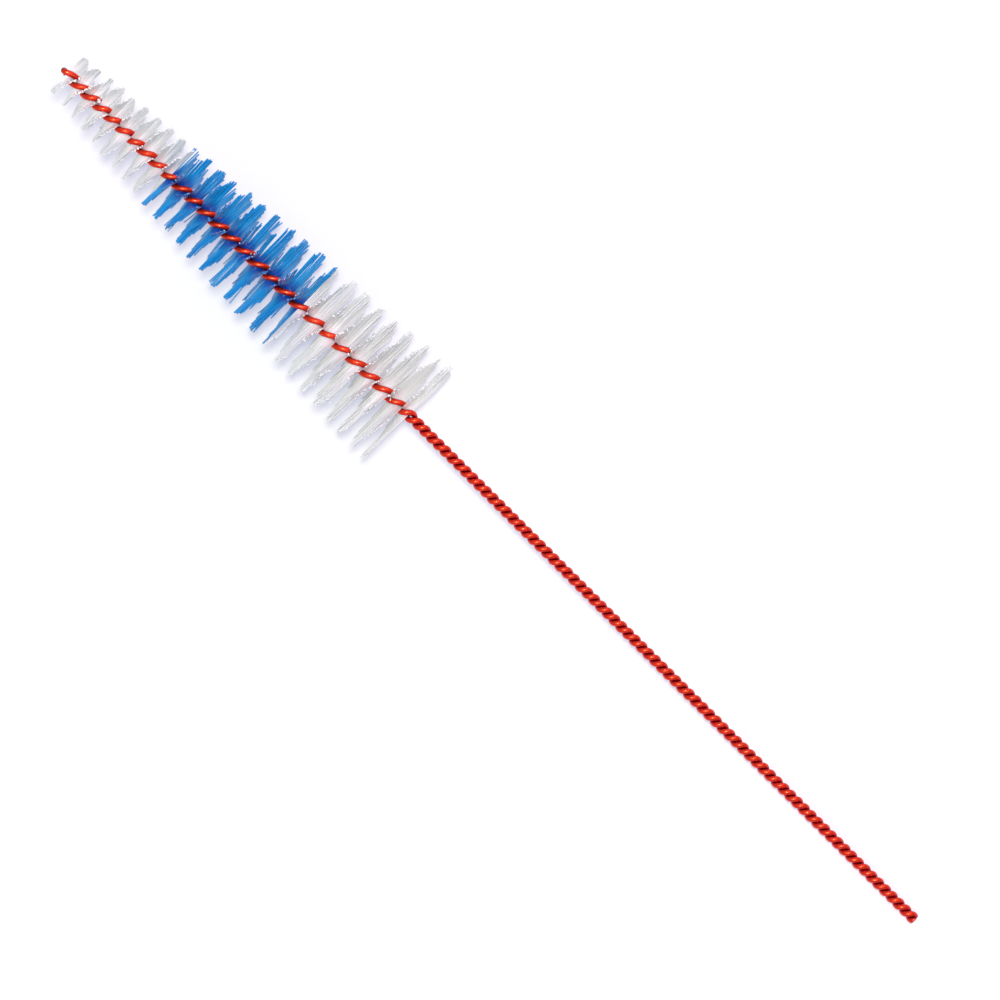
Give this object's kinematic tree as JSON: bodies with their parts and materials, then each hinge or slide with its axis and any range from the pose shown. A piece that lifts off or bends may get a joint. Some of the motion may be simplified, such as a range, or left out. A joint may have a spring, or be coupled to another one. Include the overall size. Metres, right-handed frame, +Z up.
{
  "type": "interdental brush",
  "caption": "Conical twisted-in-wire interdental brush with white, blue and white filament zones on a long bare coated wire shank.",
  "frame": {"origin": "on the table under the middle of the brush, as it lies on its last bristles and its cut wire end", "axes": "+X along the brush from the folded nose to the cut end, seen from above; +Y across it; +Z up from the table"},
  "size_m": [0.0748, 0.008, 0.0082],
  "materials": {
    "steel_core": "drawn stainless wire",
    "red_coat": "glossy clear red coat",
    "white_filament": "translucent nylon filament",
    "blue_filament": "dyed nylon filament"
  },
  "bodies": {
    "root": {"core_wire": "steel_core", "wire_coating": "red_coat", "front_white_bristles": "white_filament", "middle_blue_bristles": "blue_filament", "rear_white_bristles": "white_filament"}
  },
  "joints": []
}
